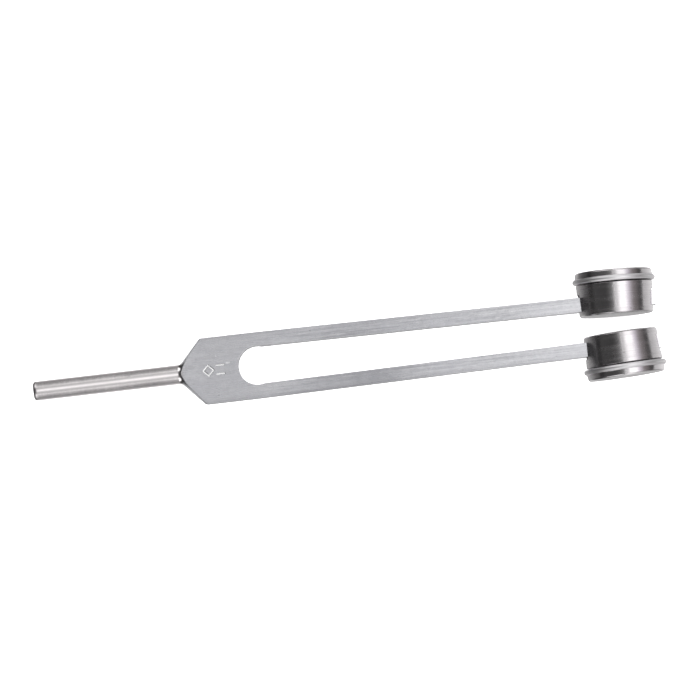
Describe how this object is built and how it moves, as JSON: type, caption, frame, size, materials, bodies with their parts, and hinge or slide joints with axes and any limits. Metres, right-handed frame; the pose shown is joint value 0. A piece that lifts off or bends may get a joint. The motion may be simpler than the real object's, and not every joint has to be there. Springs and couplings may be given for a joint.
{
  "type": "weighted tuning fork",
  "caption": "Aluminium tuning fork with a round stem and a sliding steel clamp weight with a thumb screw near the tip of each tine.",
  "frame": {"origin": "centre of the stem's flat free end", "axes": "+X along the stem towards the tips of the tines, +Y across the tines towards the upper tine, +Z through the thickness of the flat head"},
  "size_m": [0.2105, 0.0364, 0.0276],
  "materials": {
    "fork_aluminium": "satin, brushed along the length",
    "weight_steel": "polished, turned",
    "screw_steel": "polished, turned",
    "pad_brass": "machined"
  },
  "bodies": {
    "fork": {"fork": "fork_aluminium"},
    "upper_weight": {"upper_weight_body": "weight_steel"},
    "upper_pad": {"upper_pressure_pad": "pad_brass"},
    "upper_screw": {"upper_thumb_screw": "screw_steel"},
    "lower_weight": {"lower_weight_body": "weight_steel"},
    "lower_pad": {"lower_pressure_pad": "pad_brass"},
    "lower_screw": {"lower_thumb_screw": "screw_steel"}
  },
  "joints": [
    {"name": "upper_weight_slide", "type": "slide", "parent": "fork", "child": "upper_weight", "axis": [1, -0.0099, 0], "range_m": [-0.088, 0.026]},
    {"name": "upper_pad_travel", "type": "slide", "parent": "upper_weight", "child": "upper_pad", "axis": [0.0344, 0.9994, 0], "range_m": [0, 0.0015]},
    {"name": "upper_screw_turn", "type": "hinge", "parent": "upper_pad", "child": "upper_screw", "pos_m": [0.19615, 0.0098, 0], "axis": [0.0344, 0.9994, 0], "range_deg": [0, 540]},
    {"name": "lower_weight_slide", "type": "slide", "parent": "fork", "child": "lower_weight", "axis": [1, 0.0099, 0], "range_m": [-0.088, 0.026]},
    {"name": "lower_pad_travel", "type": "slide", "parent": "lower_weight", "child": "lower_pad", "axis": [0.0344, -0.9994, 0], "range_m": [0, 0.0015]},
    {"name": "lower_screw_turn", "type": "hinge", "parent": "lower_pad", "child": "lower_screw", "pos_m": [0.19655, -0.00979, 0], "axis": [0.0344, -0.9994, 0], "range_deg": [0, 540]}
  ],
  "couplings": [
    {"joint": "upper_pad_travel", "follows": "upper_screw_turn", "m_per_rad": 0.00015915},
    {"joint": "lower_pad_travel", "follows": "lower_screw_turn", "m_per_rad": 0.00015915}
  ]
}
